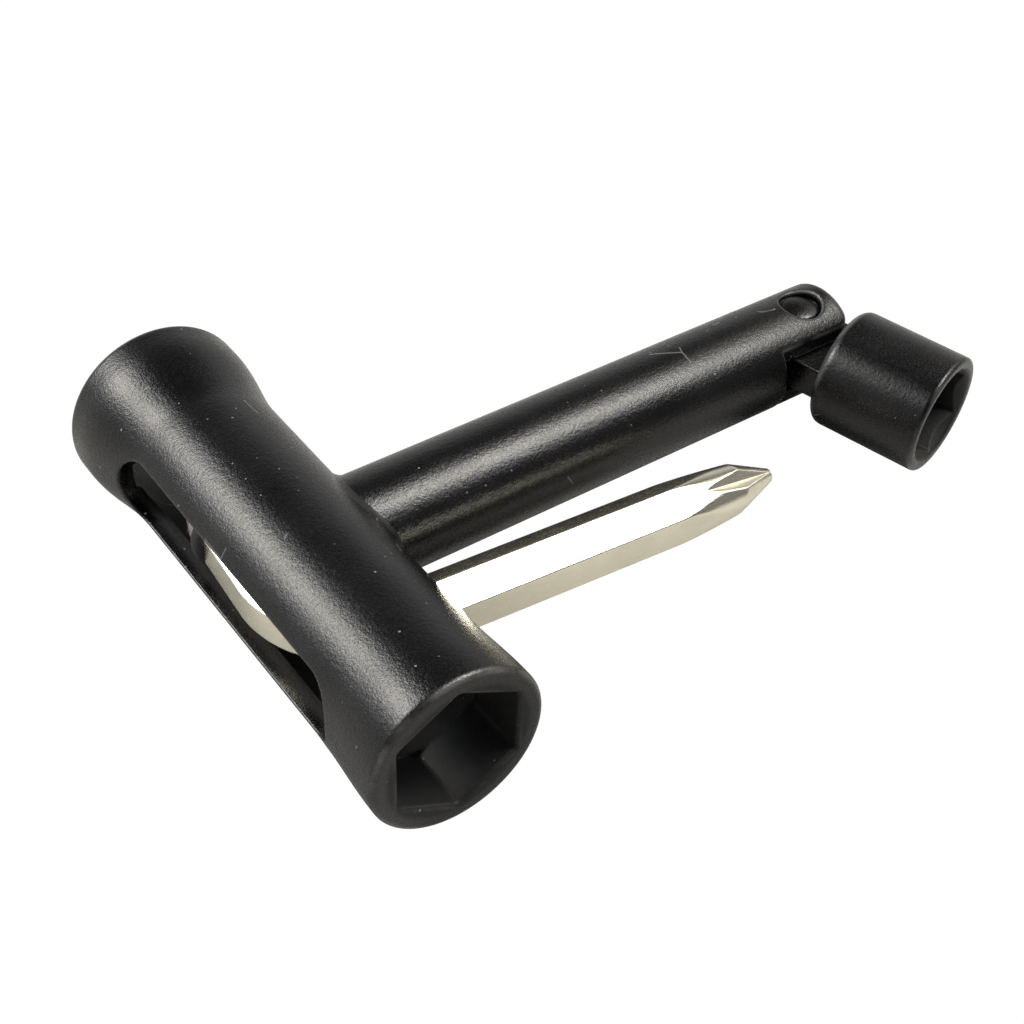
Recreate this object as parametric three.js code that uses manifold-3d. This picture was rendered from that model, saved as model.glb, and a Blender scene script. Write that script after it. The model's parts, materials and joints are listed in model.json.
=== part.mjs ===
// A T-handle socket wrench. Its waisted cross tube has a hexagon socket in each end and a long slot
// in its back. A round shaft is brazed to the middle of the tube, and its forked end carries a
// swivelling socket on a rivet. An L-shaped hexagon key lies through the tube: its long leg comes
// out beside the shaft, and its short leg lies in the slot, gripped by a rubber ring.
// Millimetres. X runs along the shaft, Y along the cross tube, and Z is up.
import * as THREE from "three";
import { ParametricGeometry } from "three/addons/geometries/ParametricGeometry.js";
import { mergeVertices } from "three/addons/utils/BufferGeometryUtils.js";
import Module from "manifold-3d";

const wasm = await Module();
wasm.setup();

// ---- Driving dimensions ----

const TURN = 2 * Math.PI;
const RUNNING_FIT = 0.05; // radial clearance of every pin in its hole
const JOINT_GAP = 0.06; // room between pieces that are brazed or pressed together
const REACH = 20; // how far a cutting solid runs past what it cuts
const BITE = 1; // how far solids that are joined or cut in line run into each other

const TUBE_HALF = 30;
const WAIST_R = 8.93;
const BORE_R = 6.9;
const NEAR_END = { side: -1, r: 9.4, flareFrom: 19.5, flareTo: 29, rim: 0.7, flats: 13, depth: 7.1 };
const FAR_END = { side: 1, r: 10.2, flareFrom: 17.2, flareTo: 27.2, rim: 0.9, flats: 14.4, depth: 9.5 };
const SOCKET_LEAD_IN = 0.35;
const SLOT_HALF_HEIGHT = 4.05;
const SLOT_NEAR_Y = -21.2;
const SLOT_FAR_Y = 20.6;

const SHAFT_R = 6;
const SHAFT_END_X = 71.5;
const SHAFT_END_ROUND = 1;
const SPIGOT_R = 4.5;
const SPIGOT_X = 5.6;
const BRAZE_LEG = 1.5;
const BRAZE_LIP = 0.2; // thickness of the fillet's two edges

const PIVOT_X = 67.1;
const FORK_ROLL = THREE.MathUtils.degToRad(2.7); // the fork sits a little round from the tube's plane
const FORK_ROOT_X = 61;
const FORK_SLOT_HALF = 2.15;
const EAR_HALF_WIDTH = 4.35;
const EAR_CORNER_R = 1.8;

const RIVET_R = 1.75;
const RIVET_HEAD_R = 2.2;
const RIVET_SEAT_Z = 4.8;
const RIVET_HEAD_Z = 5.5;
const RIVET_RECESS_R = 2.4;
const RIVET_RIM_SHARE = 0.2; // the upright part of a rivet head's height, the rest being its dome

const HEAD_ANGLE = THREE.MathUtils.degToRad(-72.9); // rest position, from straight along the shaft
const HEAD_R = 7.05;
const HEAD_BACK = 6.3; // from the pivot to the socket's back face
const HEAD_FRONT = 19.8;
const HEAD_BACK_ROUND = 1.2;
const HEAD_FRONT_ROUND = 0.5;
const HEAD_FLATS = 9.7;
const HEAD_HEX_DEPTH = 9;
const HEAD_MOUTH_R = 5.9;
const HEAD_LEAD_IN = 1.3;
const HEAD_DRILL_R = 4.7;
const HEAD_DRILL_DEPTH = 9.9;
const HEAD_DRILL_POINT = 1.6; // height of the cone at the bottom of the drilled hole
const TONGUE_HALF_THICK = 2.05;
const TONGUE_R = 5.05;

const KEY_FLATS = 6;
const KEY_LONG = 53.95; // from the corner of the leg axes to the tip
const KEY_SHORT = 22.95;
const KEY_BEND_R = 10;
const KEY_CORNER = new THREE.Vector3(-5.1, -12.56, 0.12);
const KEY_YAW = THREE.MathUtils.degToRad(-4.2);
const KEY_HOLE_R = 3.8;
const TIP_TAPER_FROM = 41.2;
const TIP_POINT_FROM = 49.4;
const TIP_POINT_R = 2.76;
const TIP_END_R = 0.75;
const FLUTE_ROOT_R = 0.85;
const FLUTE_SLOPE = THREE.MathUtils.degToRad(13);
const FLUTE_HALF_ANGLE = THREE.MathUtils.degToRad(59);
const FLUTE_TURN = THREE.MathUtils.degToRad(27); // from the key's far side up to the first flute
const RING_R = 3.8;
const RING_FROM = 18.4;
const RING_TO = 20.5;
const RING_ROUND = 0.8;

const ENAMEL = { color: 0x19191a, roughness: 0.42, metalness: 0 };
const BLACKENED = { color: 0x161617, roughness: 0.38, metalness: 0.3 };
const NICKEL = { color: 0xd6cfb8, roughness: 0.24, metalness: 1 };
const RUBBER = { color: 0x101011, roughness: 0.8, metalness: 0 };

// ---- Solids ----

// Merges a geometry's shared corners, drops flat triangles and turns its faces outwards.
function toSolid(geometry) {
  const bare = geometry.clone();
  for (const name of Object.keys(bare.attributes)) {
    if (name !== "position") bare.deleteAttribute(name);
  }
  const merged = mergeVertices(bare, 1e-4);
  const place = merged.getAttribute("position");
  const corner = (i) => new THREE.Vector3().fromBufferAttribute(place, i);
  const triangles = [];
  let volume = 0;
  for (let i = 0; i < merged.index.count; i += 3) {
    const [a, b, c] = [0, 1, 2].map((k) => merged.index.getX(i + k));
    if (a === b || b === c || c === a) continue;
    triangles.push([a, b, c]);
    volume += corner(a).dot(corner(b).cross(corner(c)));
  }
  const outward = volume > 0 ? triangles : triangles.map(([a, b, c]) => [a, c, b]);
  const mesh = new wasm.Mesh({
    numProp: 3,
    vertProperties: new Float32Array(place.array),
    triVerts: new Uint32Array(outward.flat()),
  });
  mesh.merge();
  return new wasm.Manifold(mesh);
}

function toMesh(name, solid, looks) {
  const cut = solid.getMesh();
  const geometry = new THREE.BufferGeometry();
  geometry.setAttribute("position", new THREE.BufferAttribute(cut.vertProperties, cut.numProp));
  geometry.setIndex(new THREE.BufferAttribute(cut.triVerts, 1));
  const mesh = new THREE.Mesh(geometry, new THREE.MeshStandardMaterial(looks));
  mesh.name = name;
  return mesh;
}

// A solid of revolution about +Y, from [radius, height] points that run upwards.
function turned(points, segments = 64) {
  const profile = points.map(([r, y]) => new THREE.Vector2(r, y));
  return new THREE.LatheGeometry(profile, segments);
}

function alongX(geometry) {
  return geometry.rotateZ(-TURN / 4);
}

function alongZ(geometry) {
  return geometry.rotateX(TURN / 4);
}

function rod(radius, from, to, segments = 48) {
  return turned([[0, from], [radius, from], [radius, to], [0, to]], segments);
}

// Points of a quarter circle about (r, y), from one angle to the next, in [radius, height] form.
function quarter(r, y, radius, fromAngle, toAngle, steps = 4) {
  const points = [];
  for (let i = 0; i <= steps; i += 1) {
    const angle = THREE.MathUtils.lerp(fromAngle, toAngle, i / steps);
    points.push([r + radius * Math.cos(angle), y + radius * Math.sin(angle)]);
  }
  return points;
}

// A hexagonal prism about +Y with a corner on +Z, whose size may change along its length.
function hexPrism(flatsFrom, flatsTo, from, to) {
  const toCorner = 1 / Math.sqrt(3);
  const prism = new THREE.CylinderGeometry(flatsTo * toCorner, flatsFrom * toCorner, to - from, 6);
  return prism.translate(0, (from + to) / 2, 0);
}

// ---- Cross tube ----

function endOutline(end) {
  const points = [];
  const flareSteps = 8;
  for (let i = 0; i <= flareSteps; i += 1) {
    const t = i / flareSteps;
    const swell = 0.5 - 0.5 * Math.cos(Math.PI * t);
    const y = THREE.MathUtils.lerp(end.flareFrom, end.flareTo, t);
    points.push([WAIST_R + (end.r - WAIST_R) * swell, y]);
  }
  points.push(...quarter(end.r - end.rim, TUBE_HALF - end.rim, end.rim, 0, TURN / 4));
  points.push([0, TUBE_HALF]);
  return points.map(([r, y]) => [r, y * end.side]);
}

function endSocket(end) {
  const floor = end.side * (TUBE_HALF - end.depth);
  const face = end.side * TUBE_HALF;
  const mouth = end.side * (TUBE_HALF - SOCKET_LEAD_IN);
  const past = end.side * (TUBE_HALF + REACH);
  const wide = end.flats + 2 * SOCKET_LEAD_IN;
  const [low, high] = [Math.min(floor, past), Math.max(floor, past)];
  const hexagon = toSolid(hexPrism(end.flats, end.flats, low, high));
  const leadIn = end.side > 0
    ? hexPrism(end.flats, wide, mouth, face)
    : hexPrism(wide, end.flats, face, mouth);
  return hexagon.add(toSolid(leadIn));
}

// The slot's outline lies in the YZ plane and is extruded along X, through the back wall only.
function backSlot() {
  const outline = new THREE.Shape();
  const r = SLOT_HALF_HEIGHT;
  outline.absarc(SLOT_FAR_Y - r, 0, r, -TURN / 4, TURN / 4, false);
  outline.absarc(SLOT_NEAR_Y + r, 0, r, TURN / 4, (3 * TURN) / 4, false);
  const slot = new THREE.ExtrudeGeometry(outline, { depth: REACH, bevelEnabled: false, curveSegments: 20 });
  const turn = new THREE.Matrix4().makeBasis(
    new THREE.Vector3(0, 1, 0),
    new THREE.Vector3(0, 0, 1),
    new THREE.Vector3(1, 0, 0),
  );
  return slot.applyMatrix4(turn).translate(-REACH - BORE_R / 2, 0, 0);
}

function keyHole() {
  const hole = alongX(rod(KEY_HOLE_R, -KEY_CORNER.x, REACH));
  return hole.rotateZ(KEY_YAW).translate(KEY_CORNER.x, KEY_CORNER.y, KEY_CORNER.z);
}

function handleTube() {
  const outline = [...endOutline(NEAR_END).reverse(), ...endOutline(FAR_END)];
  const bore = rod(BORE_R, -TUBE_HALF + NEAR_END.depth, TUBE_HALF - FAR_END.depth, 64);
  const spigotHole = alongX(rod(SPIGOT_R + JOINT_GAP, 0, REACH));
  return toSolid(turned(outline, 72))
    .subtract(toSolid(bore))
    .subtract(endSocket(NEAR_END))
    .subtract(endSocket(FAR_END))
    .subtract(toSolid(backSlot()))
    .subtract(toSolid(keyHole()))
    .subtract(toSolid(spigotHole));
}

// ---- Shaft and fork ----

function shaftBlank() {
  const endCentre = SHAFT_END_X - SHAFT_END_ROUND;
  const round = quarter(SHAFT_R - SHAFT_END_ROUND, endCentre, SHAFT_END_ROUND, 0, TURN / 4);
  const bar = toSolid(alongX(turned([[0, 0], [SHAFT_R, 0], ...round, [0, SHAFT_END_X]])));
  const saddle = toSolid(rod(WAIST_R + JOINT_GAP, -REACH, REACH, 72));
  const spigot = toSolid(alongX(rod(SPIGOT_R, SPIGOT_X, TUBE_HALF)));
  return bar.subtract(saddle).add(spigot);
}

// The shape of the two ears seen along the rivet: flat sides and rounded front corners.
function earOutline() {
  const outline = new THREE.Shape();
  const [w, r] = [EAR_HALF_WIDTH, EAR_CORNER_R];
  outline.moveTo(0, -w);
  outline.absarc(SHAFT_END_X - r, -w + r, r, -TURN / 4, 0, false);
  outline.absarc(SHAFT_END_X - r, w - r, r, 0, TURN / 4, false);
  outline.lineTo(0, w);
  const slab = new THREE.ExtrudeGeometry(outline, { depth: 2 * SHAFT_R, bevelEnabled: false });
  return slab.translate(0, 0, -SHAFT_R);
}

function forkSlot() {
  const length = SHAFT_END_X - FORK_ROOT_X + REACH;
  const gap = new THREE.BoxGeometry(length, 4 * SHAFT_R, 2 * FORK_SLOT_HALF);
  return gap.translate(FORK_ROOT_X + length / 2, 0, 0);
}

function forkTrim() {
  const length = SHAFT_END_X - FORK_ROOT_X + REACH;
  const block = new THREE.BoxGeometry(length, 4 * SHAFT_R, 4 * SHAFT_R);
  const around = toSolid(block.translate(FORK_ROOT_X + length / 2, 0, 0).rotateX(FORK_ROLL));
  return around.subtract(toSolid(earOutline().rotateX(FORK_ROLL)));
}

function shaft() {
  const rivetHole = alongZ(rod(RIVET_R + RUNNING_FIT, -REACH, REACH)).translate(PIVOT_X, 0, 0);
  let bar = shaftBlank()
    .subtract(forkTrim())
    .subtract(toSolid(forkSlot().rotateX(FORK_ROLL)))
    .subtract(toSolid(rivetHole.rotateX(FORK_ROLL)));
  for (const side of [-1, 1]) {
    const [low, high] = side > 0 ? [RIVET_SEAT_Z, REACH] : [-REACH, -RIVET_SEAT_Z];
    const recess = alongZ(rod(RIVET_RECESS_R, low, high)).translate(PIVOT_X, 0, 0);
    bar = bar.subtract(toSolid(recess.rotateX(FORK_ROLL)));
  }
  return bar;
}

// A ring of braze with a hollow face from the shaft to the tube, blunt where it meets either. Its
// section is a closed outline of [height over the tube's surface, radius about the shaft] points.
function brazeFillet() {
  const inner = SHAFT_R + JOINT_GAP;
  const tubeR = WAIST_R + JOINT_GAP;
  const leg = BRAZE_LEG - BRAZE_LIP;
  const outline = [];
  const curveSteps = 5;
  for (let i = 0; i <= curveSteps; i += 1) {
    const t = i / curveSteps;
    outline.push([BRAZE_LIP + leg * (1 - t) ** 2, inner + BRAZE_LIP + leg * t ** 2]);
  }
  outline.push([0, inner + BRAZE_LEG], [0, inner + BRAZE_LEG / 2], [0, inner], [BRAZE_LEG, inner]);
  const surface = (along, turn, target) => {
    const [height, radius] = outline[Math.round(along * outline.length) % outline.length];
    const angle = turn * TURN;
    const x = Math.sqrt(tubeR ** 2 - (radius * Math.sin(angle)) ** 2) + height;
    target.set(x, radius * Math.cos(angle), radius * Math.sin(angle));
  };
  return toSolid(new ParametricGeometry(surface, outline.length, 48));
}

function pivotRivet() {
  const seat = RIVET_SEAT_Z + RUNNING_FIT;
  const rise = RIVET_HEAD_Z - seat;
  const dome = (side) => {
    const points = [];
    const steps = 5;
    for (let i = 0; i < steps; i += 1) {
      const angle = (i / steps) * (TURN / 4);
      const share = RIVET_RIM_SHARE + (1 - RIVET_RIM_SHARE) * Math.sin(angle);
      points.push([RIVET_HEAD_R * Math.cos(angle), (seat + rise * share) * side]);
    }
    const outline = [[0, seat * side], [RIVET_HEAD_R, seat * side], ...points, [0, RIVET_HEAD_Z * side]];
    return toSolid(alongZ(turned(side > 0 ? outline : outline.reverse(), 36)));
  };
  const shank = toSolid(alongZ(rod(RIVET_R, -seat - rise / 2, seat + rise / 2)));
  return shank.add(dome(1)).add(dome(-1));
}

// ---- Swivelling socket, with the pivot at the origin and its mouth towards +X ----

function tongue() {
  const outline = new THREE.Shape();
  outline.moveTo(HEAD_BACK + BITE, TONGUE_R);
  outline.absarc(0, 0, TONGUE_R, TURN / 4, (3 * TURN) / 4, false);
  outline.lineTo(HEAD_BACK + BITE, -TONGUE_R);
  const depth = 2 * TONGUE_HALF_THICK;
  const slab = new THREE.ExtrudeGeometry(outline, { depth, bevelEnabled: false, curveSegments: 28 });
  return slab.translate(0, 0, -TONGUE_HALF_THICK);
}

function swivelSocket() {
  const back = quarter(HEAD_R - HEAD_BACK_ROUND, HEAD_BACK + HEAD_BACK_ROUND, HEAD_BACK_ROUND, -TURN / 4, 0);
  const round = HEAD_FRONT_ROUND;
  const front = quarter(HEAD_R - round, HEAD_FRONT - round, round, 0, TURN / 4);
  const barrel = alongX(turned([[0, HEAD_BACK], ...back, ...front, [0, HEAD_FRONT]]));
  const hexFloor = HEAD_FRONT - HEAD_HEX_DEPTH;
  const hexagon = alongX(hexPrism(HEAD_FLATS, HEAD_FLATS, hexFloor, HEAD_FRONT + REACH).rotateY(TURN / 12));
  const leadIn = alongX(turned([
    [0, HEAD_FRONT - HEAD_LEAD_IN],
    [HEAD_DRILL_R, HEAD_FRONT - HEAD_LEAD_IN],
    [HEAD_MOUTH_R, HEAD_FRONT],
    [HEAD_MOUTH_R, HEAD_FRONT + BITE],
    [0, HEAD_FRONT + BITE],
  ]));
  const drillEnd = HEAD_FRONT - HEAD_DRILL_DEPTH;
  const drilled = alongX(turned([
    [0, drillEnd - HEAD_DRILL_POINT],
    [HEAD_DRILL_R, drillEnd],
    [HEAD_DRILL_R, hexFloor + BITE],
    [0, hexFloor + BITE],
  ], 48));
  return toSolid(barrel)
    .add(toSolid(tongue()))
    .subtract(toSolid(hexagon))
    .subtract(toSolid(leadIn))
    .subtract(toSolid(drilled))
    .subtract(toSolid(alongZ(rod(RIVET_R + RUNNING_FIT, -REACH, REACH))));
}

// ---- Hexagon key, with the corner of its leg axes at the origin and its long leg along +X ----

class Bend extends THREE.Curve {
  getPoint(t, target = new THREE.Vector3()) {
    const angle = (t * TURN) / 4;
    return target.set(KEY_BEND_R * (1 - Math.sin(angle)), KEY_BEND_R * (1 - Math.cos(angle)), 0);
  }
}

function keyBar() {
  const path = new THREE.CurvePath();
  path.add(new THREE.LineCurve3(new THREE.Vector3(KEY_LONG, 0, 0), new THREE.Vector3(KEY_BEND_R, 0, 0)));
  path.add(new Bend());
  path.add(new THREE.LineCurve3(new THREE.Vector3(0, KEY_BEND_R, 0), new THREE.Vector3(0, KEY_SHORT, 0)));
  const corners = [];
  for (let i = 0; i < 6; i += 1) {
    const angle = (i / 6) * TURN;
    const radius = KEY_FLATS / Math.sqrt(3);
    corners.push(new THREE.Vector2(radius * Math.cos(angle), radius * Math.sin(angle)));
  }
  return new THREE.ExtrudeGeometry(new THREE.Shape(corners), { steps: 72, extrudePath: path });
}

// Everything the finished tip keeps: a slow taper, then a blunt point.
function tipEnvelope() {
  const cornerR = KEY_FLATS / Math.sqrt(3);
  const slope = (cornerR - TIP_POINT_R) / (TIP_POINT_FROM - TIP_TAPER_FROM);
  const wide = 3 * KEY_FLATS;
  const start = TIP_POINT_FROM - (wide - TIP_POINT_R) / slope;
  return alongX(turned([
    [0, start],
    [wide, start],
    [TIP_POINT_R, TIP_POINT_FROM],
    [TIP_END_R, KEY_LONG],
    [0, KEY_LONG],
  ]));
}

// A V-groove whose bottom rises out of the bar behind the tip.
function flute(angle) {
  const height = KEY_FLATS;
  const spread = height * Math.tan(FLUTE_HALF_ANGLE);
  const wedge = new THREE.Shape([
    new THREE.Vector2(0, 0),
    new THREE.Vector2(spread, height),
    new THREE.Vector2(-spread, height),
  ]);
  const groove = new THREE.ExtrudeGeometry(wedge, { depth: REACH, bevelEnabled: false });
  groove.translate(0, 0, -BITE);
  groove.rotateX(-FLUTE_SLOPE);
  groove.translate(0, FLUTE_ROOT_R, 0);
  const out = new THREE.Vector3(0, Math.cos(angle), Math.sin(angle));
  const back = new THREE.Vector3(-1, 0, 0);
  const across = new THREE.Vector3().crossVectors(out, back);
  groove.applyMatrix4(new THREE.Matrix4().makeBasis(across, out, back));
  return groove.translate(KEY_LONG, 0, 0);
}

function hexKey() {
  let key = toSolid(keyBar()).intersect(toSolid(tipEnvelope()));
  for (let i = 0; i < 4; i += 1) {
    key = key.subtract(toSolid(flute(FLUTE_TURN + (i / 4) * TURN)));
  }
  return key;
}

function keyRing() {
  const [r, round] = [RING_R - RING_ROUND, RING_ROUND];
  const ring = turned([
    [0, RING_FROM],
    ...quarter(r, RING_FROM + round, round, -TURN / 4, 0),
    ...quarter(r, RING_TO - round, round, 0, TURN / 4),
    [0, RING_TO],
  ], 48);
  const flats = KEY_FLATS + 2 * JOINT_GAP;
  return toSolid(ring).subtract(toSolid(hexPrism(flats, flats, 0, TUBE_HALF)));
}

// ---- Assembly ----

const handle = new THREE.Group();
handle.add(toMesh("handle_tube", handleTube(), ENAMEL));
handle.add(toMesh("shaft", shaft(), ENAMEL));
handle.add(toMesh("braze_fillet", brazeFillet(), ENAMEL));

const rivet = toMesh("pivot_rivet", pivotRivet(), BLACKENED);
rivet.position.set(PIVOT_X, 0, 0);
rivet.rotation.set(FORK_ROLL, 0, 0);
handle.add(rivet);

const head = toMesh("swivel_socket", swivelSocket(), BLACKENED);
head.position.set(PIVOT_X, 0, 0);
head.rotation.set(FORK_ROLL, 0, HEAD_ANGLE);

const key = new THREE.Group();
key.position.copy(KEY_CORNER);
key.rotation.set(0, 0, KEY_YAW);
key.add(toMesh("hex_key", hexKey(), NICKEL));
key.add(toMesh("key_ring", keyRing(), RUBBER));

const wrench = new THREE.Group();
wrench.add(handle, head, key);

// The origin is the middle of the base of the whole wrench's box.
const box = new THREE.Box3().setFromObject(wrench, true);
const middle = box.getCenter(new THREE.Vector3());
wrench.position.set(-middle.x, -middle.y, -box.min.z);

export default wrench;
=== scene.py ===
"""The looks of a T-handle socket wrench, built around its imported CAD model.

Every fine piece below is made in millimetres about the point where the wrench's two axes cross:
X runs along the shaft, Y along the cross tube, and Z is up. place() turns that into the frame's metres.
"""
import json
import math

import bpy
import numpy as np
import openvdb
from mathutils import Matrix, Vector


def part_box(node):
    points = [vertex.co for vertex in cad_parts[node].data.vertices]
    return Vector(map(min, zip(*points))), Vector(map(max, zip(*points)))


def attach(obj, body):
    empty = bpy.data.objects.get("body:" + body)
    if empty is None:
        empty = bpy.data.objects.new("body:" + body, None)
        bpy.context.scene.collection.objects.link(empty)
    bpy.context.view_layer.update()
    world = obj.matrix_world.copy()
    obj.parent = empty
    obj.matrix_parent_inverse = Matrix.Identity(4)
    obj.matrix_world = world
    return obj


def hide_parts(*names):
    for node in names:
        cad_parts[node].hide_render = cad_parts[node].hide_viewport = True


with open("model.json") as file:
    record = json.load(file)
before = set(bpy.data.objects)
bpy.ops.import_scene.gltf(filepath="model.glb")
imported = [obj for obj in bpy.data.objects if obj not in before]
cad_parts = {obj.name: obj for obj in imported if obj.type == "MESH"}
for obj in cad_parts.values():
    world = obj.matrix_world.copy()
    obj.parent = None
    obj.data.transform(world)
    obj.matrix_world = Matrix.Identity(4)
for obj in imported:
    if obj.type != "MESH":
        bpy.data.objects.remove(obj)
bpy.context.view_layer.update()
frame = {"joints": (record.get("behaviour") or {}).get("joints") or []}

MM = 0.001
TURN = 2 * math.pi
OVERLAP = 0.01  # how far two cuts in one solid run into each other
BEYOND = 0.4  # how far each grid reaches past its solid
FULL_WEAR = 0.12  # how deep the rounding has cut where an edge is marked as fully worn

# ---- Where the pieces are, from the frame ----

tube_low, tube_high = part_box("handle_tube")
AXES = (tube_low + tube_high) / 2
joints = {joint["name"]: joint for joint in frame["joints"]}
swing = joints["head_swing"]
PIVOT_X = (swing["pos_m"][0] - AXES.x) / MM
FORK_ROLL = math.atan2(-swing["axis"][1], swing["axis"][2])
slide = joints["key_slide"]
KEY_YAW = math.atan2(-slide["axis"][1], -slide["axis"][0])

# ---- Sizes in millimetres ----

TUBE_HALF = (tube_high.y - tube_low.y) / MM / 2
WAIST_R = 8.93
BORE_R = 6.9
NEAR_END = dict(side=-1, r=9.4, flare_from=19.5, flare_to=29.0, rim=0.7, flats=13.0, depth=7.1)
FAR_END = dict(side=1, r=10.2, flare_from=17.2, flare_to=27.2, rim=0.9, flats=14.4, depth=9.5)
LEAD_IN = 0.35
SOCKET_CORNER_R = 0.3
SLOT_HALF_HEIGHT = 4.05
SLOT_NEAR_Y = -21.2
SLOT_FAR_Y = 20.6
TUBE_EDGE = 0.28

SHAFT_R = 6.0
SHAFT_END_X = 71.5
SHAFT_END_ROUND = 1.0
SPIGOT_R = 4.5
SPIGOT_X = 5.6
BRAZE_LEG = 1.5
FORK_ROOT_X = 61.0
FORK_SLOT_HALF = 2.15
EAR_HALF_WIDTH = 4.35
EAR_CORNER_R = 1.8
SHAFT_EDGE = 0.3
SADDLE_SINK = 0.25

RIVET_R = 1.75
RIVET_HEAD_R = 2.2
RIVET_SEAT_Z = 4.8
RIVET_HEAD_Z = 5.5
RIVET_PLAY = 0.05
RIVET_RECESS_R = 2.4
RECESS_LIP = 0.5

HEAD_ANGLE = math.radians(-72.9)
HEAD_R = 7.05
HEAD_BACK = 6.3
HEAD_FRONT = 19.8
HEAD_BACK_ROUND = 1.2
HEAD_FRONT_ROUND = 0.5
HEAD_FLATS = 9.7
HEAD_HEX_DEPTH = 9.0
HEAD_MOUTH_R = 5.9
HEAD_LEAD_IN = 1.3
HEAD_DRILL_R = 4.7
HEAD_DRILL_DEPTH = 9.9
HEAD_DRILL_POINT = 1.6
HEAD_CORNER_R = 0.25
HEAD_MOUTH_EDGE = 0.2
TONGUE_ROOT_R = 0.3
TONGUE_HALF_THICK = 2.05
TONGUE_R = 5.05
HEAD_EDGE = 0.25

KEY_FLATS = 6.0
KEY_LONG = 53.95
KEY_SHORT = 22.95
KEY_BEND_R = 10.0
KEY_CORNER = Vector((-5.1, -12.56, 0.12))
KEY_HOLE_R = 3.8
KEY_EDGE = 0.18
KEY_CHAMFER = 0.35
KEY_CHAMFER_SLOPE = 1.3
TIP_BLEND = 0.1
TIP_TAPER_FROM = 41.2
TIP_POINT_FROM = 49.4
TIP_POINT_R = 2.76
TIP_END_R = 0.75
FLUTE_ROOT_R = 0.85
FLUTE_SLOPE = math.radians(13)
FLUTE_HALF_ANGLE = math.radians(59)
FLUTE_TURN = math.radians(27)
RING_R = 3.8
RING_FROM = 18.4
RING_TO = 20.5
RING_ROUND = 0.8
RING_GRIP = 0.02


# ---- Solids as distance fields: negative inside, positive outside ----

def both(a, b, edge=0.0):
    """What two solids share, with its convex edge rounded to that radius."""
    inside = np.minimum(np.maximum(a, b), -edge)
    return inside + np.hypot(np.maximum(a + edge, 0), np.maximum(b + edge, 0))


def either(a, b, fillet=0.0):
    """Two solids joined, with a fillet of that radius between them."""
    return -both(-a, -b, fillet)


def cut(a, b, edge=0.0):
    """The first solid without the second, with a rounded edge."""
    return both(a, -b, edge)


def hexagon(u, v, flats, corner=0.0):
    """A hexagonal bar with a corner towards v."""
    slant_u, slant_v = u / 2, v * math.sqrt(3) / 2
    pairs = [np.abs(u), np.abs(slant_u + slant_v), np.abs(slant_u - slant_v)]
    first, second, third = [pair - flats / 2 for pair in pairs]
    return both(both(first, second, corner), third, corner)


def steps(*stretches):
    """Grid lines from (start, end, spacing) stretches that follow on from each other."""
    lines = [np.arange(start, end, spacing) for start, end, spacing in stretches]
    return np.concatenate(lines)


def smooth_step(t):
    t = np.clip(t, 0, 1)
    return 0.5 - 0.5 * np.cos(math.pi * t)


def mark(piece, name, values):
    """Stores one number per point on a piece, for its material to read."""
    held = piece.data.attributes.new(name, "FLOAT", "POINT")
    held.data.foreach_set("value", np.asarray(values, np.float32))


def mark_inside(piece, across, full, none, start=-math.inf):
    """Marks points inside a hollow piece, from 1 at the radius full to 0 at none. Points before start
    along X are not marked."""
    points = np.array([point.co for point in piece.data.vertices])
    share = np.clip((none - np.linalg.norm(points * across, axis=1)) / (none - full), 0, 1)
    mark(piece, "inside", share * (points[:, 0] > start))


def new_object(name, points, faces):
    """A smooth-shaded mesh object."""
    mesh = bpy.data.meshes.new(name)
    mesh.from_pydata(points.tolist(), [], faces)
    mesh.polygons.foreach_set("use_smooth", np.ones(len(faces), bool))
    mesh.update()
    piece = bpy.data.objects.new(name, mesh)
    bpy.context.scene.collection.objects.link(piece)
    return piece


def outwards(points, faces):
    """Faces in the order that makes the solid's volume positive."""
    a, b, c = points[faces[:, 0]], points[faces[:, 1]], points[faces[:, 2]]
    volume = np.einsum("ij,ij->i", a, np.cross(b, c)).sum()
    return faces if volume > 0 else faces[:, ::-1]


def from_field(name, field, lines):
    """A mesh of the surface where the field is zero. How far the rounding has cut into the sharp-edged
    solid becomes the mesh's edge attribute, which the enamel reads as wear."""
    x, y, z = np.meshgrid(*[line.astype(np.float32) for line in lines], indexing="ij", sparse=True)
    values = field(x, y, z, 1.0).astype(np.float32)
    grid = openvdb.FloatGrid(background=1.0)
    grid.copyFromArray(values)
    found, quads = grid.convertToQuads(isovalue=0.0)
    columns = [np.interp(found[:, k], np.arange(len(lines[k])), lines[k]) for k in range(3)]
    points = np.stack(columns, axis=1)
    piece = new_object(name, points, outwards(points, quads.astype(np.int64)).tolist())
    mark(piece, "edge", np.clip(-field(*points.T, 0.0) / FULL_WEAR, 0, 1))
    return piece


def loft(name, rings, closed=False):
    """A mesh through rings of points. A closed one joins the last ring to the first, and an open one has
    a centre point in each end."""
    rings = np.array(rings)
    count, around = rings.shape[:2]
    points = rings.reshape(-1, 3)
    last = count if closed else count - 1
    i = np.arange(last)[:, None] * around
    j = np.arange(around)[None, :]
    onward = ((np.arange(last) + 1) % count)[:, None] * around
    beside = (j + 1) % around
    quads = np.stack([i + j, i + beside, onward + beside, onward + j], axis=-1).reshape(-1, 4)
    faces = outwards(points, quads).tolist()
    if not closed:
        points = np.concatenate([points, rings[:1].mean(axis=1), rings[-1:].mean(axis=1)])
        forward = faces[0][(faces[0].index(0) + 1) % 4] == 1
        first_end = (count * around, 0, forward)
        last_end = (count * around + 1, (count - 1) * around, not forward)
        for centre, base, flip in (first_end, last_end):
            for k in range(around):
                pair = [base + k, base + (k + 1) % around]
                faces.append([centre, *(pair[::-1] if flip else pair)])
    return new_object(name, points, faces)


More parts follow.
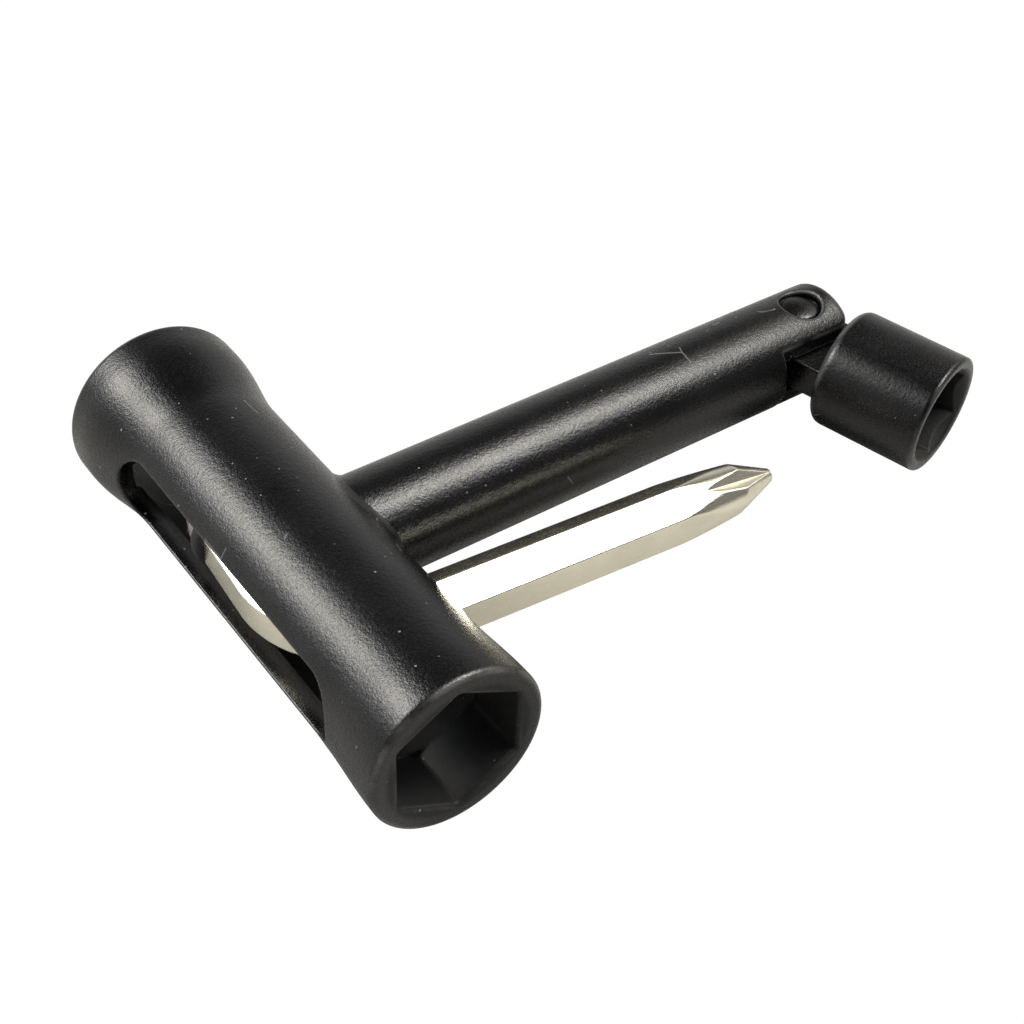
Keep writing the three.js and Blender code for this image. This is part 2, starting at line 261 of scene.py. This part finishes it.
def place(piece, pose, body, node, slot):
    """Moves a piece made in millimetres to its place in the frame, and hands it to its body."""
    to_frame = Matrix.Translation(AXES) @ Matrix.Scale(MM, 4)
    piece.data.transform(to_frame @ pose)
    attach(piece, body)
    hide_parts(node)
    return piece


# ---- Cross tube ----

def tube_radius(y):
    radius = WAIST_R
    for end in (NEAR_END, FAR_END):
        along = (y * end["side"] - end["flare_from"]) / (end["flare_to"] - end["flare_from"])
        radius = radius + (end["r"] - WAIST_R) * smooth_step(along)
    return radius


def tube_field(x, y, z, rounding):
    """The tube less its sockets, bore, slot, key hole and spigot hole. A rounding of 0 leaves sharp edges."""
    across = np.hypot(x, z)
    tube = across - tube_radius(y)
    hollow = both(across - BORE_R, np.abs(y) - TUBE_HALF)
    corner = SOCKET_CORNER_R * rounding
    for end in (NEAR_END, FAR_END):
        out = y * end["side"]
        tube = both(tube, out - TUBE_HALF, end["rim"] * rounding)
        floor = TUBE_HALF - end["depth"]
        hollow = both(hollow, out - floor)
        widened = np.maximum(out - (TUBE_HALF - LEAD_IN), 0)
        socket = both(hexagon(x, z, end["flats"], corner) - widened, floor - OVERLAP - out)
        hollow = either(hollow, socket)
    tube = cut(tube, hollow, TUBE_EDGE * rounding)
    middle = (SLOT_NEAR_Y + SLOT_FAR_Y) / 2
    straight = (SLOT_FAR_Y - SLOT_NEAR_Y) / 2 - SLOT_HALF_HEIGHT
    slot = np.hypot(np.maximum(np.abs(y - middle) - straight, 0), z) - SLOT_HALF_HEIGHT
    tube = cut(tube, both(slot, x), TUBE_EDGE * rounding)
    beside_key = (y - KEY_CORNER.y) * math.cos(KEY_YAW) - (x - KEY_CORNER.x) * math.sin(KEY_YAW)
    key_hole = both(np.hypot(beside_key, z - KEY_CORNER.z) - KEY_HOLE_R, -x)
    tube = cut(tube, key_hole, TUBE_EDGE * rounding)
    return cut(tube, both(np.hypot(y, z) - SPIGOT_R, -x))


def handle_tube():
    reach = FAR_END["r"] + BEYOND
    across = steps((-reach, reach, 0.17))
    along = steps(
        (-TUBE_HALF - BEYOND, -TUBE_HALF + 2, 0.13),
        (-TUBE_HALF + 2, TUBE_HALF - 2, 0.21),
        (TUBE_HALF - 2, TUBE_HALF + BEYOND, 0.13),
    )
    piece = from_field("handle_tube_body", tube_field, (across, along, across))
    mark_inside(piece, (1, 0, 1), BORE_R + 0.6, BORE_R + 1.3)
    return place(piece, Matrix.Identity(4), "handle", "handle_tube", "enamel")


# ---- Shaft, in the fork's own frame, with Z along the rivet ----

def shaft_field(x, y, z, rounding):
    """The bar with its spigot, its saddle on the tube, and the fork with two sunk rivet seats."""
    edge = SHAFT_EDGE * rounding
    bar = both(np.hypot(y, z) - SHAFT_R, x - SHAFT_END_X, SHAFT_END_ROUND * rounding)
    past_x = x - (SHAFT_END_X - EAR_CORNER_R)
    past_y = np.abs(y) - (EAR_HALF_WIDTH - EAR_CORNER_R)
    ears = np.hypot(np.maximum(past_x, 0), np.maximum(past_y, 0)) - EAR_CORNER_R
    ears = ears + np.minimum(np.maximum(past_x, past_y), 0)
    bar = both(bar, either(ears, x - FORK_ROOT_X), edge)
    bar = cut(bar, both(np.abs(z) - FORK_SLOT_HALF, FORK_ROOT_X - x), edge)
    from_pivot = np.hypot(x - PIVOT_X, y)
    bar = cut(bar, both(from_pivot - RIVET_RECESS_R, RIVET_SEAT_Z - np.abs(z)), RECESS_LIP * rounding)
    bar = cut(bar, from_pivot - RIVET_R)
    tube_z = y * math.sin(FORK_ROLL) + z * math.cos(FORK_ROLL)
    saddle = np.hypot(x, tube_z) - (WAIST_R - SADDLE_SINK)
    bar = both(bar, -saddle)
    spigot_middle = (SPIGOT_X + TUBE_HALF) / 2
    spigot = both(np.hypot(y, z) - SPIGOT_R, np.abs(x - spigot_middle) - (TUBE_HALF - SPIGOT_X) / 2)
    return either(both(bar, -x), spigot)


def fork_pose():
    return Matrix.Rotation(FORK_ROLL, 4, "X")


def shaft():
    reach = SHAFT_R + BEYOND
    across = steps((-reach, reach, 0.15))
    along = steps(
        (SPIGOT_X - BEYOND, WAIST_R + 1, 0.15),
        (WAIST_R + 1, FORK_ROOT_X - 1.4, 0.4),
        (FORK_ROOT_X - 1.4, SHAFT_END_X + BEYOND, 0.15),
    )
    piece = from_field("shaft_body", shaft_field, (along, across, across))
    return place(piece, fork_pose(), "handle", "shaft", "enamel")


# ---- Braze fillet ----

def braze_fillet():
    """A hollow curve from the shaft to the tube, all the way round, sunk a little into both."""
    turns = np.linspace(0, TURN, 240, endpoint=False)
    sink = 0.12

    def on_tube(radius):
        return np.sqrt((WAIST_R - sink) ** 2 - (radius * np.sin(turns)) ** 2)

    def ring(x, radius):
        return np.stack([x, radius * np.cos(turns), radius * np.sin(turns)], axis=1)

    rings = []
    root = on_tube(SHAFT_R)
    lip = on_tube(SHAFT_R + BRAZE_LEG)
    bead = 0.07 * np.sin(3 * turns + 1) + 0.04 * np.sin(5 * turns)
    leg = BRAZE_LEG * (1 + bead)
    for t in np.linspace(0, 1, 15):
        radius = SHAFT_R - sink + (leg + sink) * t ** 2
        x = root + (leg + sink) * (1 - t) ** 2 + (lip - root) * t ** 2
        rings.append(ring(x, radius))
    deep = SHAFT_R - 2 * sink
    rings.append(ring(on_tube(deep) - sink, deep))
    piece = loft("braze_fillet_bead", rings, closed=True)
    return place(piece, Matrix.Identity(4), "handle", "braze_fillet", "enamel")


# ---- Rivet ----

def lathe(name, profile, around=96):
    """Turns a profile of (radius, height) points about Z."""
    turns = np.linspace(0, TURN, around, endpoint=False)
    rings = []
    for r, h in profile:
        rings.append(np.stack([r * np.cos(turns), r * np.sin(turns), np.full(around, h)], axis=1))
    return loft(name, rings)


def arc(r, h, radius, start, end, count=8):
    """Points along an arc round the point (r, h)."""
    return [(r + radius * math.cos(a), h + radius * math.sin(a)) for a in np.linspace(start, end, count)]


def pivot_rivet():
    """The pin with the same domed head at each end."""
    rise = RIVET_HEAD_Z - RIVET_SEAT_Z
    edge = 0.15
    dome = []
    for a in np.linspace(0.12, TURN / 4, 14)[:-1]:
        dome.append((RIVET_HEAD_R * math.cos(a), RIVET_SEAT_Z + rise * (0.15 + 0.85 * math.sin(a))))
    upper = [
        (RIVET_R, RIVET_SEAT_Z - 0.3),
        (RIVET_R, RIVET_SEAT_Z),
        (RIVET_HEAD_R - edge, RIVET_SEAT_Z),
        (RIVET_HEAD_R, RIVET_SEAT_Z + edge),
        *dome,
        (0.05, RIVET_HEAD_Z),
    ]
    lower = [(r, -h) for r, h in reversed(upper)]
    piece = lathe("pivot_rivet_pin", [*lower, *upper])
    pose = fork_pose() @ Matrix.Translation((PIVOT_X, 0, 0))
    return place(piece, pose, "handle", "pivot_rivet", "blackened")


# ---- Swivelling socket, with the pivot at the origin and its mouth towards +X ----

def head_field(x, y, z, rounding):
    """The barrel and its tongue, less the hexagon, the mouth's cone, the drilled bottom and the hole."""
    edge = HEAD_EDGE * rounding
    across = np.hypot(y, z)
    barrel = both(across - HEAD_R, HEAD_BACK - x, HEAD_BACK_ROUND * rounding)
    barrel = both(barrel, x - HEAD_FRONT, HEAD_FRONT_ROUND * rounding)
    outline = np.hypot(np.minimum(x, 0), y) - TONGUE_R
    tongue = both(outline, np.abs(z) - TONGUE_HALF_THICK, edge)
    tongue = both(tongue, x - HEAD_BACK - HEAD_BACK_ROUND)
    solid = either(barrel, tongue, TONGUE_ROOT_R * rounding)
    hexagonal = hexagon(y, z, HEAD_FLATS, HEAD_CORNER_R * rounding)
    hexagonal = both(hexagonal, HEAD_FRONT - HEAD_HEX_DEPTH - x)
    opening = HEAD_MOUTH_R - HEAD_DRILL_R
    cone = (across - HEAD_MOUTH_R) + (HEAD_FRONT - x) * opening / HEAD_LEAD_IN
    cone = both(cone / math.hypot(1, opening / HEAD_LEAD_IN), HEAD_FRONT - HEAD_LEAD_IN - x)
    drill_end = HEAD_FRONT - HEAD_DRILL_DEPTH
    point = drill_end - HEAD_DRILL_POINT * (1 - across / HEAD_DRILL_R) - x
    drilled = both(across - HEAD_DRILL_R, point)
    solid = cut(solid, either(either(hexagonal, cone), drilled), HEAD_MOUTH_EDGE * rounding)
    return cut(solid, np.hypot(x, y) - RIVET_R - RIVET_PLAY, edge)


def swivel_socket():
    reach = HEAD_R + BEYOND
    across = steps((-reach, reach, 0.13))
    along = steps(
        (-TONGUE_R - BEYOND, HEAD_BACK - 0.5, 0.17),
        (HEAD_BACK - 0.5, HEAD_BACK + 2, 0.13),
        (HEAD_BACK + 2, HEAD_FRONT - 2, 0.25),
        (HEAD_FRONT - 2, HEAD_FRONT + BEYOND, 0.11),
    )
    piece = from_field("swivel_socket_body", head_field, (along, across, across))
    mark_inside(piece, (0, 1, 1), HEAD_MOUTH_R - 0.5, HEAD_MOUTH_R, HEAD_BACK + 0.5)
    pose = Matrix.Translation((PIVOT_X, 0, 0)) @ fork_pose() @ Matrix.Rotation(HEAD_ANGLE, 4, "Z")
    return place(piece, pose, "head", "swivel_socket", "blackened")


# ---- Hexagon key, with the corner of its leg axes at the origin and its long leg along +X ----

def key_angles(per_side=16, per_corner=10):
    """Angles round the bar, closer together at its six corners."""
    half_corner = math.radians(6)
    angles = []
    for side in range(6):
        start = side * TURN / 6 - half_corner
        middle = start + 2 * half_corner
        angles += list(np.linspace(start, middle, per_corner, endpoint=False))
        angles += list(np.linspace(middle, start + TURN / 6, per_side, endpoint=False))
    return np.array(angles)


def bar_radius(angles):
    """Distance from the key's axis to the side of its bar, with rounded corners, at each angle."""
    from_side = (angles % (TURN / 6)) - TURN / 12
    flat = KEY_FLATS / 2 / np.cos(from_side)
    corner_from = KEY_FLATS / math.sqrt(3) - KEY_EDGE * 2 / math.sqrt(3)
    off = np.abs(np.abs(from_side) - TURN / 12)
    aside = corner_from * np.sin(off)
    rounded = corner_from * np.cos(off) + np.sqrt(np.maximum(KEY_EDGE ** 2 - aside ** 2, 0))
    reached = aside < KEY_EDGE * math.sin(TURN / 12)
    return np.where(reached, np.minimum(flat, rounded), flat)


def soft_least(a, b):
    """The smaller of two lengths, turning over smoothly where they meet."""
    mix = np.clip(0.5 + 0.5 * (b - a) / TIP_BLEND, 0, 1)
    return b + (a - b) * mix - TIP_BLEND * mix * (1 - mix)


def key_section(angles, along):
    """Radius of the long leg's section at that distance from the corner: bar, taper, point and flutes."""
    radius = bar_radius(angles)
    corner_r = KEY_FLATS / math.sqrt(3)
    tapered = (along - TIP_TAPER_FROM) / (TIP_POINT_FROM - TIP_TAPER_FROM)
    pointed = (along - TIP_POINT_FROM) / (KEY_LONG - TIP_POINT_FROM)
    taper = corner_r - (corner_r - TIP_POINT_R) * tapered
    point = TIP_POINT_R - (TIP_POINT_R - TIP_END_R) * pointed
    if along > TIP_TAPER_FROM - 0.5:
        radius = soft_least(radius, soft_least(taper, point))
    root = FLUTE_ROOT_R + (KEY_LONG - along) * math.tan(FLUTE_SLOPE)
    from_flute = np.abs((angles + FLUTE_TURN + TURN / 8) % (TURN / 4) - TURN / 8)
    flute = root / np.maximum(np.cos(from_flute) - np.sin(from_flute) / math.tan(FLUTE_HALF_ANGLE), 0.05)
    return soft_least(radius, flute)


def hex_key():
    """Sections of the bar from the short leg's chamfered end, round the bend and out to the tip. Each
    point's run and turn attributes unroll the bar for its material's draw lines."""
    angles = key_angles()
    along = steps((KEY_BEND_R, TIP_TAPER_FROM - 1.2, 1.0), (TIP_TAPER_FROM - 1.2, KEY_LONG, 0.12))
    along = np.append(along, KEY_LONG)
    rings = []

    def add(centre, sideways, radius):
        out = radius[:, None] * np.sin(angles)[:, None] * np.array(sideways)
        up = radius[:, None] * np.cos(angles)[:, None] * np.array((0, 0, 1))
        rings.append(np.array(centre) + out + up)

    bar = bar_radius(angles)
    end_r = KEY_FLATS / 2 - KEY_CHAMFER
    for share in (0.94, 1):
        add((0, KEY_SHORT, 0), (1, 0, 0), np.minimum(bar, end_r) * share)
    for inset in (0.12, 0.24, KEY_CHAMFER):
        widened = end_r + inset * KEY_CHAMFER_SLOPE
        add((0, KEY_SHORT - inset, 0), (1, 0, 0), np.minimum(bar, widened))
    for y in np.arange(KEY_SHORT - 1, KEY_BEND_R, -1.0):
        add((0, y, 0), (1, 0, 0), bar)
    for a in np.linspace(0, TURN / 4, 49):
        centre = (KEY_BEND_R * (1 - math.cos(a)), KEY_BEND_R * (1 - math.sin(a)), 0)
        add(centre, (math.cos(a), math.sin(a), 0), bar)
    for x in along[1:]:
        add((x, 0, 0), (0, 1, 0), key_section(angles, x))
    for share in (0.9, 0.6):
        add((KEY_LONG, 0, 0), (0, 1, 0), key_section(angles, KEY_LONG) * share)
    piece = loft("hex_key_bar", rings)
    hops = np.linalg.norm(np.diff(np.mean(rings, axis=1), axis=0), axis=1)
    run = np.repeat(np.append(0, np.cumsum(hops)), len(angles))
    mark(piece, "run", np.append(run, [0, run[-1]]))
    mark(piece, "turn", np.append(np.tile(angles * KEY_FLATS / 2, len(rings)), [0, 0]))
    return place(piece, key_pose(), "key", "hex_key", "nickel")


def key_pose():
    return Matrix.Translation(KEY_CORNER) @ Matrix.Rotation(KEY_YAW, 4, "Z")


def key_ring():
    """A rubber ring round the short leg, with a hexagonal hole that the bar fills."""
    angles = key_angles()
    inner = bar_radius(angles) - RING_GRIP
    crown = 0.06
    outline = arc(RING_R - RING_ROUND, RING_FROM + RING_ROUND, RING_ROUND, -TURN / 4, 0)
    outline += arc(RING_R - RING_ROUND, RING_TO - RING_ROUND, RING_ROUND, 0, TURN / 4)
    sections = [(np.maximum(r, inner), y) for r, y in outline]
    sections += [(inner, RING_TO - crown), (inner, RING_FROM + crown)]
    rings = []
    for radius, y in sections:
        level = np.full(len(angles), y)
        rings.append(np.stack([radius * np.sin(angles), level, radius * np.cos(angles)], axis=1))
    piece = loft("key_ring_rubber", rings, closed=True)
    return place(piece, key_pose(), "key", "key_ring", "rubber")


# ---- Materials ----

class Nodes:
    """A new material's node tree, with short calls for the nodes used below."""

    def __init__(self, name):
        self.made = bpy.data.materials.new(name)
        self.made.use_nodes = True
        self.tree = self.made.node_tree
        self.shader = self.tree.nodes["Principled BSDF"]

    def add(self, kind, links=None, **settings):
        node = self.tree.nodes.new("ShaderNode" + kind)
        for key, value in settings.items():
            setattr(node, key, value)
        for socket, source in (links or {}).items():
            self.feed(node.inputs[socket], source)
        return node

    def feed(self, socket, source):
        if hasattr(source, "links"):
            self.tree.links.new(source, socket)
        else:
            socket.default_value = source

    def value(self, operation, *sources):
        node = self.add("Math", dict(enumerate(sources)), operation=operation)
        return node.outputs[0]

    def place(self):
        return self.add("TexCoord").outputs["Object"]

    def noise(self, place, scale, detail=2.0, roughness=0.5):
        links = {"Vector": place, "Scale": scale, "Detail": detail, "Roughness": roughness}
        return self.add("TexNoise", links).outputs[0]

    def ramp(self, source, low, high, start=0.0, end=1.0):
        """A straight rise from start to end while the source goes from low to high."""
        links = {"Value": source, "From Min": low, "From Max": high, "To Min": start, "To Max": end}
        return self.add("MapRange", links).outputs[0]

    def mix(self, share, first, second):
        node = self.add("Mix", data_type="RGBA")
        self.feed(node.inputs[0], share)
        self.feed(node.inputs[6], first)
        self.feed(node.inputs[7], second)
        return node.outputs[2]

    def bump(self, height, depth, below=None):
        links = {"Height": height, "Distance": depth, "Strength": 1.0}
        if below is not None:
            links["Normal"] = below
        return self.add("Bump", links).outputs[0]

    def set(self, **sockets):
        for name, source in sockets.items():
            self.feed(self.shader.inputs[name.replace("_", " ")], source)


def specks(n, place, per_metre, size):
    """1 on small round dots of dust, in rather more than a third of the cells, and 0 between them."""
    cells = n.add("TexVoronoi", {"Vector": place, "Scale": per_metre, "Randomness": 1.0})
    chance = n.add("SeparateColor", {0: cells.outputs["Color"]})
    reach = n.ramp(chance.outputs[0], 0.62, 1.0, 0.0, size)
    return n.value("LESS_THAN", cells.outputs["Distance"], reach)


def scratches(n, place, turned, width):
    """1 on thin straight lines between large cells, broken up so that only short lengths show."""
    spun = n.add("Mapping", {"Vector": place, "Rotation": turned, "Scale": (60.0, 60.0, 60.0)})
    cells = n.add("TexVoronoi", {"Vector": spun.outputs[0], "Scale": 1.0}, feature="DISTANCE_TO_EDGE")
    line = n.value("LESS_THAN", cells.outputs["Distance"], width)
    part = n.value("GREATER_THAN", n.noise(place, 170.0, 1.0), 0.64)
    return n.value("MULTIPLY", line, part)


def enamel(name, colour, roughness, grain, peel, dust):
    """Black enamel: fine grit and orange peel, dust specks, hairline scratches, rubbed edges, and a matt
    inside to the sockets. Grain and peel are bump heights in metres."""
    n = Nodes(name)
    place = n.place()
    cloud = n.noise(place, 120.0, 3.0)
    grit = n.noise(place, 5200.0, 3.0, 0.65)
    dots = specks(n, place, 900.0, dust)
    lines = scratches(n, place, (0.6, 0.3, 1.1), 0.0045)
    rubbed = n.add("Attribute", attribute_name="edge").outputs["Fac"]
    patchy = n.ramp(n.noise(place, 130.0, 4.0, 0.65), 0.40, 0.62)
    worn = n.value("MULTIPLY", n.value("MULTIPLY", rubbed, patchy), 0.7)
    dusty = n.value("MAXIMUM", dots, n.value("MULTIPLY", lines, 0.6))
    pale = tuple(min(1.0, channel * 2.2) for channel in colour[:3]) + (1.0,)
    base = n.mix(n.ramp(cloud, 0.35, 0.7), colour, pale)
    base = n.mix(n.value("MULTIPLY", dusty, 0.4), base, (0.36, 0.36, 0.34, 1.0))
    base = n.mix(worn, base, (0.13, 0.13, 0.125, 1.0))
    gloss = n.ramp(grit, 0.3, 0.7, roughness - 0.07, roughness + 0.09)
    gloss = n.value("ADD", gloss, n.ramp(cloud, 0.3, 0.7, -0.03, 0.04))
    gloss = n.value("ADD", gloss, n.value("MULTIPLY", dusty, 0.25))
    inside = n.add("Attribute", attribute_name="inside").outputs["Fac"]
    gloss = n.value("ADD", gloss, n.value("MULTIPLY", inside, 0.4))
    peeled = n.bump(n.noise(place, 2000.0, 3.0, 0.6), peel)
    n.set(Base_Color=base, Roughness=gloss, Normal=n.bump(grit, grain, peeled))
    return n.made


def nickel():
    """Bright nickel with a champagne tint, fine draw lines along the bar and a few cloudy patches."""
    n = Nodes("nickel_plate")
    run = n.add("Attribute", attribute_name="run").outputs["Fac"]
    turn = n.add("Attribute", attribute_name="turn").outputs["Fac"]
    unrolled = n.add("CombineXYZ", {0: run, 1: turn}).outputs[0]
    stretched = n.add("Mapping", {"Vector": unrolled, "Scale": (0.25, 9.0, 1.0)}).outputs[0]
    place = n.place()
    draw = n.noise(stretched, 1.0, 4.0, 0.7)
    cloud = n.noise(place, 260.0, 4.0, 0.6)
    grit = n.noise(place, 4200.0, 2.0, 0.6)
    base = n.mix(n.ramp(cloud, 0.35, 0.7), (0.97, 0.92, 0.76, 1.0), (0.88, 0.83, 0.68, 1.0))
    gloss = n.value("ADD", n.ramp(draw, 0.3, 0.7, 0.16, 0.27), n.ramp(grit, 0.3, 0.7, -0.02, 0.04))
    lined = n.bump(draw, 0.000006)
    n.set(Base_Color=base, Roughness=gloss, Normal=n.bump(grit, 0.000003, lined))
    n.shader.inputs["Metallic"].default_value = 1.0
    return n.made


def rubber():
    """Matt black rubber with a fine moulded grain and a little grey bloom."""
    n = Nodes("ring_rubber")
    place = n.place()
    grain = n.noise(place, 3500.0, 3.0, 0.6)
    bloom = n.ramp(n.noise(place, 500.0, 3.0), 0.4, 0.75)
    base = n.mix(bloom, (0.004, 0.004, 0.0045, 1.0), (0.010, 0.010, 0.010, 1.0))
    n.set(Base_Color=base, Roughness=n.ramp(grain, 0.3, 0.7, 0.55, 0.75), Normal=n.bump(grain, 0.00002))
    return n.made


def cover(pieces, made):
    """Gives the pieces one material."""
    for piece in pieces:
        piece.data.materials.clear()
        piece.data.materials.append(made)


# ---- Camera, floor and lights ----

CAMERA_AIM = Vector((22.489, -6.26, 0.09))
CAMERA_DISTANCE = 182.933
CAMERA_TURNS = (-36.696, 41.976, 2.197)  # azimuth, elevation and roll in degrees, fitted to the photo
CAMERA_LENS = 62.05
WHITE = 1.02  # a little over 1, so that the backdrop is pure white after rounding
SOFTBOX_DISTANCE = 0.5


def camera():
    """The camera stands in front of the smaller socket and looks down along the tube."""
    data = bpy.data.cameras.new("camera")
    data.lens = CAMERA_LENS
    data.sensor_width = 36
    data.clip_start = 0.01
    data.clip_end = 10
    view = bpy.data.objects.new("camera", data)
    bpy.context.scene.collection.objects.link(view)
    aim = AXES + CAMERA_AIM * MM
    azimuth, elevation, roll = map(math.radians, CAMERA_TURNS)
    back = Vector((
        math.sin(azimuth) * math.cos(elevation),
        -math.cos(azimuth) * math.cos(elevation),
        math.sin(elevation),
    ))
    view.rotation_mode = "QUATERNION"
    upright = (-back).to_track_quat("-Z", "Y")
    view.rotation_quaternion = upright @ Matrix.Rotation(roll, 3, "Z").to_quaternion()
    view.location = aim + back * CAMERA_DISTANCE * MM
    bpy.context.scene.camera = view


def plane(name, half, height, made):
    mesh = bpy.data.meshes.new(name)
    corners = [(-half, -half, 0), (half, -half, 0), (half, half, 0), (-half, half, 0)]
    mesh.from_pydata(corners, [], [(0, 1, 2, 3)])
    mesh.materials.append(made)
    made_plane = bpy.data.objects.new(name, mesh)
    made_plane.location.z = height
    bpy.context.scene.collection.objects.link(made_plane)
    return made_plane


def floor():
    """A glowing white table that only the camera sees, and a darker one just below it that the wrench
    reflects and the lights fall on."""
    lit = Nodes("table_glow")
    glow = lit.add("Emission", {"Color": (1, 1, 1, 1), "Strength": WHITE})
    lit.tree.links.new(glow.outputs[0], lit.tree.nodes["Material Output"].inputs["Surface"])
    lit.tree.nodes.remove(lit.shader)
    seen = plane("floor", 4.0, -0.0004, lit.made)
    seen.visible_glossy = False
    seen.visible_diffuse = False
    seen.visible_shadow = False
    seen.visible_transmission = False
    matt = Nodes("table_matt")
    matt.set(Base_Color=(0.42, 0.415, 0.40, 1.0), Roughness=1.0)
    matt.shader.inputs["Specular IOR Level"].default_value = 0.0
    reflected = plane("floor_reflected", 0.6, -0.0006, matt.made)
    reflected.visible_camera = False


def softbox(name, direction, size, power, colour):
    """A round area light in that direction from the wrench, facing it."""
    data = bpy.data.lights.new(name, "AREA")
    data.shape = "ELLIPSE"
    data.size = size
    data.size_y = size
    data.energy = power
    data.color = colour
    lamp = bpy.data.objects.new(name, data)
    away = Vector(direction).normalized()
    lamp.location = AXES + away * SOFTBOX_DISTANCE
    lamp.rotation_mode = "QUATERNION"
    lamp.rotation_quaternion = (-away).to_track_quat("-Z", "Y")
    bpy.context.scene.collection.objects.link(lamp)


def room():
    """White to the camera. To everything else a dim room, brighter near the horizon and on its far side."""
    world = bpy.data.worlds.new("room")
    world.use_nodes = True
    nodes, links = world.node_tree.nodes, world.node_tree.links
    across = nodes.new("ShaderNodeSeparateXYZ")
    links.new(nodes.new("ShaderNodeTexCoord").outputs["Generated"], across.inputs[0])
    strength = nodes.new("ShaderNodeMath")
    strength.operation = "MULTIPLY"
    height_fade, depth_fade = (0.35, 0.62, 0.45, 0.05), (-0.9, 0.5, 0.3, 1.3)
    for factor, (axis, fade) in enumerate(((2, height_fade), (1, depth_fade))):
        ramp = nodes.new("ShaderNodeMapRange")
        for socket, value in zip(("From Min", "From Max", "To Min", "To Max"), fade):
            ramp.inputs[socket].default_value = value
        links.new(across.outputs[axis], ramp.inputs["Value"])
        links.new(ramp.outputs[0], strength.inputs[factor])
    white = nodes.new("ShaderNodeMix")
    links.new(nodes.new("ShaderNodeLightPath").outputs["Is Camera Ray"], white.inputs["Factor"])
    links.new(strength.outputs[0], white.inputs["A"])
    white.inputs["B"].default_value = WHITE
    links.new(white.outputs["Result"], nodes["Background"].inputs["Strength"])
    nodes["Background"].inputs["Color"].default_value = (1, 1, 1, 1)
    bpy.context.scene.world = world


def lights():
    """Round softboxes where the photo's highlights lie: three with a warm middle and a cooler, weaker
    surround, and one for the key's tip."""
    warm, cool = (1.0, 0.93, 0.82), (0.82, 0.9, 1.0)
    places = {
        "over_shaft": ((0.44, -0.27, 0.86), 1.0),
        "over_tube": ((-0.50, 0.60, 0.62), 0.75),
        "over_head": ((-0.63, 0.28, 0.72), 0.34),
    }
    for name, (direction, share) in places.items():
        softbox(name + "_warm", direction, 0.16, 1.5 * share, warm)
        softbox(name + "_cool", direction, 0.27, 1.3 * share, cool)
    softbox("over_tip", (0.766, -0.053, 0.638), 0.36, 0.5, warm)
    bpy.context.scene.view_settings.view_transform = "Standard"


camera()
enamelled = [handle_tube(), shaft(), braze_fillet()]
blackened = [pivot_rivet(), swivel_socket()]
enamel_black, coating_black = (0.0012, 0.0012, 0.0014, 1.0), (0.0010, 0.0010, 0.0012, 1.0)
cover(enamelled, enamel("black_enamel", enamel_black, 0.24, grain=0.00003, peel=0.00004, dust=0.13))
cover(blackened, enamel("black_coating", coating_black, 0.24, grain=0.000025, peel=0.00003, dust=0.09))
cover([hex_key()], nickel())
cover([key_ring()], rubber())
floor()
room()
lights()
